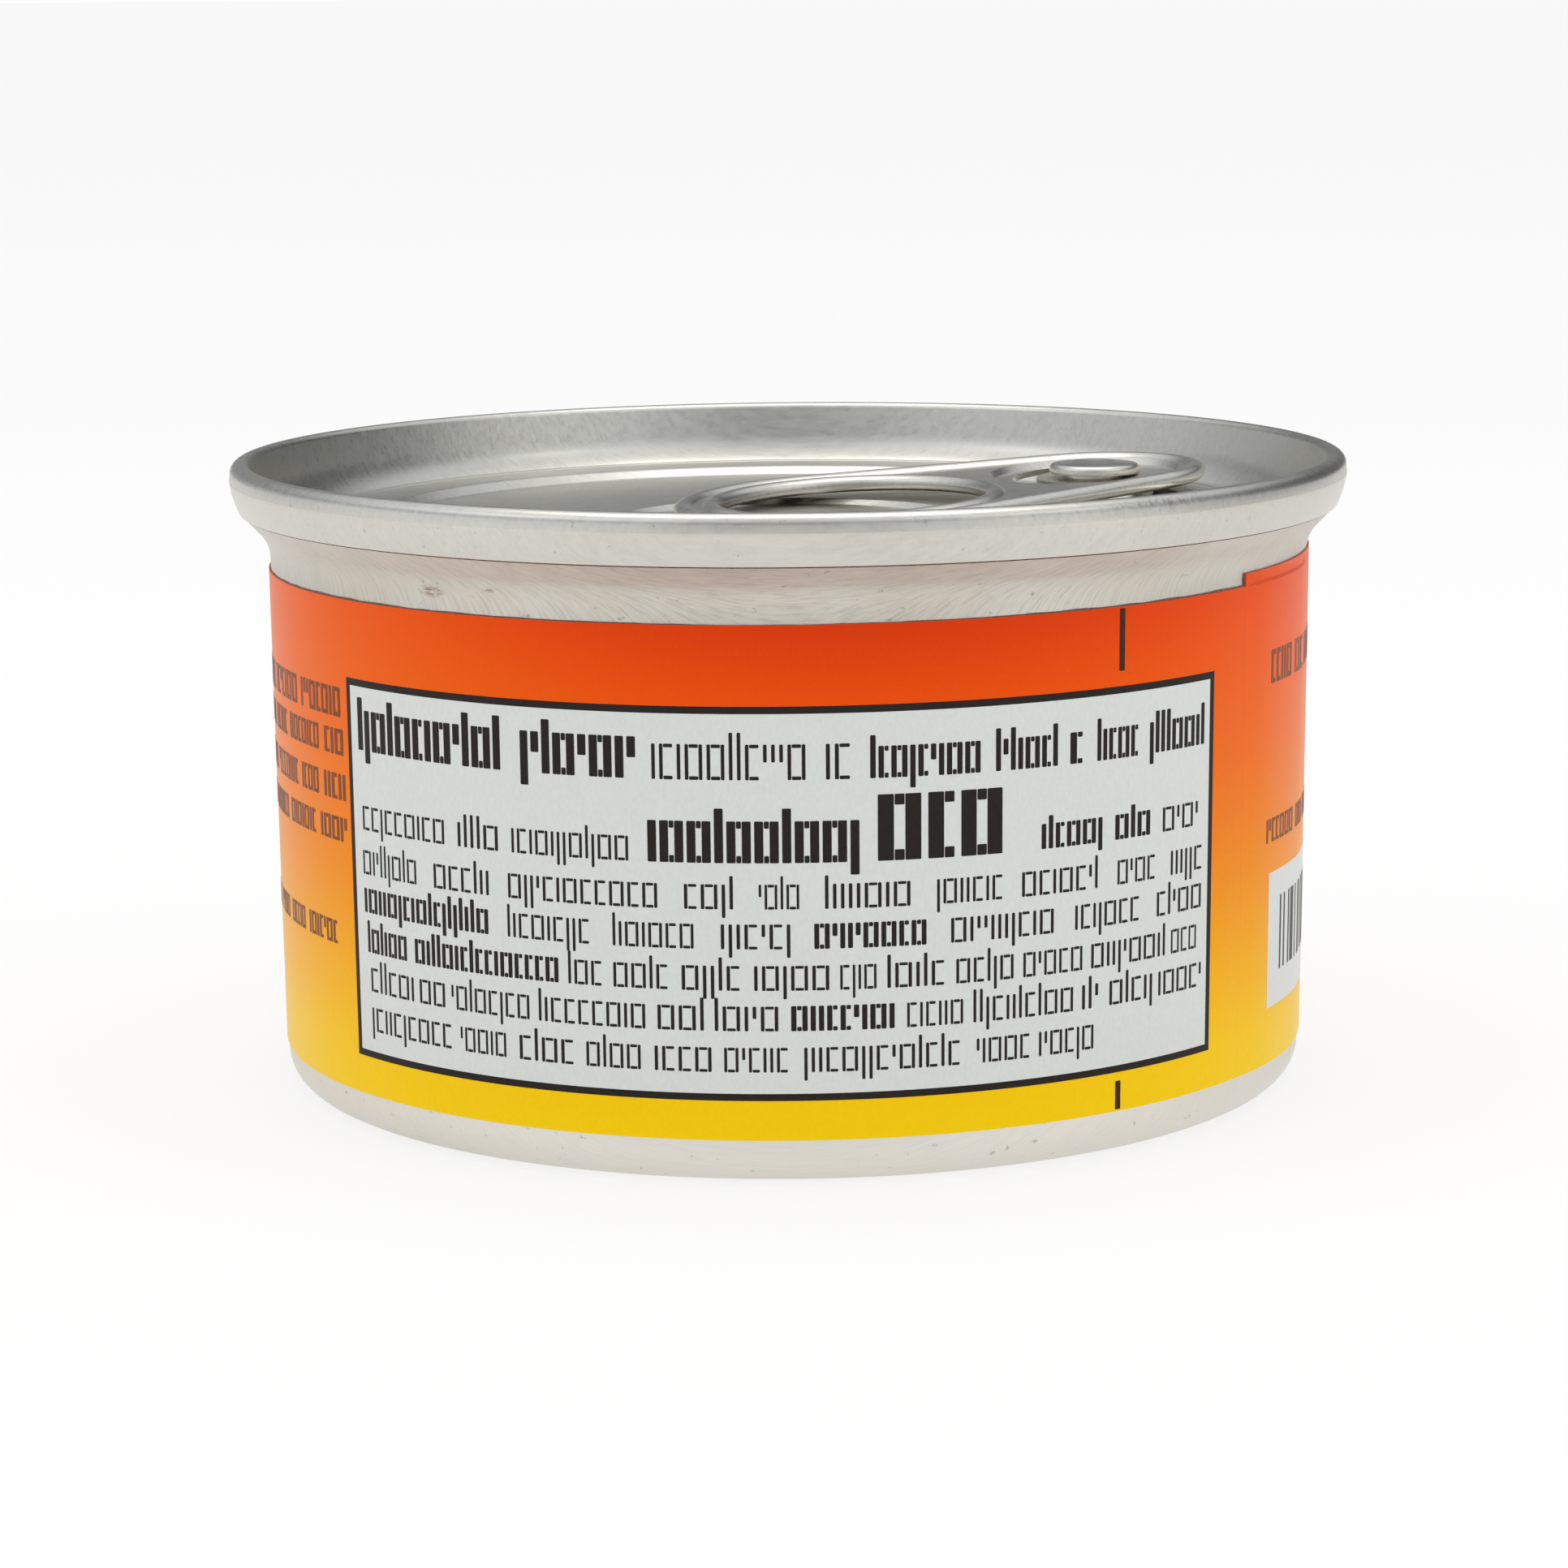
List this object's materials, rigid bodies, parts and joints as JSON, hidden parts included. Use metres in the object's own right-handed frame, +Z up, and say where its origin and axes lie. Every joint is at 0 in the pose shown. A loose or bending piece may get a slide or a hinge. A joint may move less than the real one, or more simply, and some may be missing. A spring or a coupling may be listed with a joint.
{
  "type": "potted meat can",
  "caption": "Shut shallow round food can with a paper label, a double seam round its rim and a ring-pull easy-open end.",
  "frame": {"origin": "middle of the stand ring, at the height it rests on", "axes": "+Z up along the can's axis; -Y is the front, where the information panel of the label is; the tab's nose points 28 degrees from +X towards +Y"},
  "size_m": [0.0664, 0.0664, 0.0372],
  "materials": {
    "can_metal": "satin, drawn, with fine rolling lines",
    "end_metal": "satin, with fine rolling lines",
    "tab_metal": "bright satin",
    "label_paper": "coated paper, red-orange at the top fading to yellow at the foot"
  },
  "bodies": {
    "root": {"can_body": "can_metal", "lid": "end_metal", "pull_tab": "tab_metal", "label": "label_paper"}
  },
  "joints": []
}
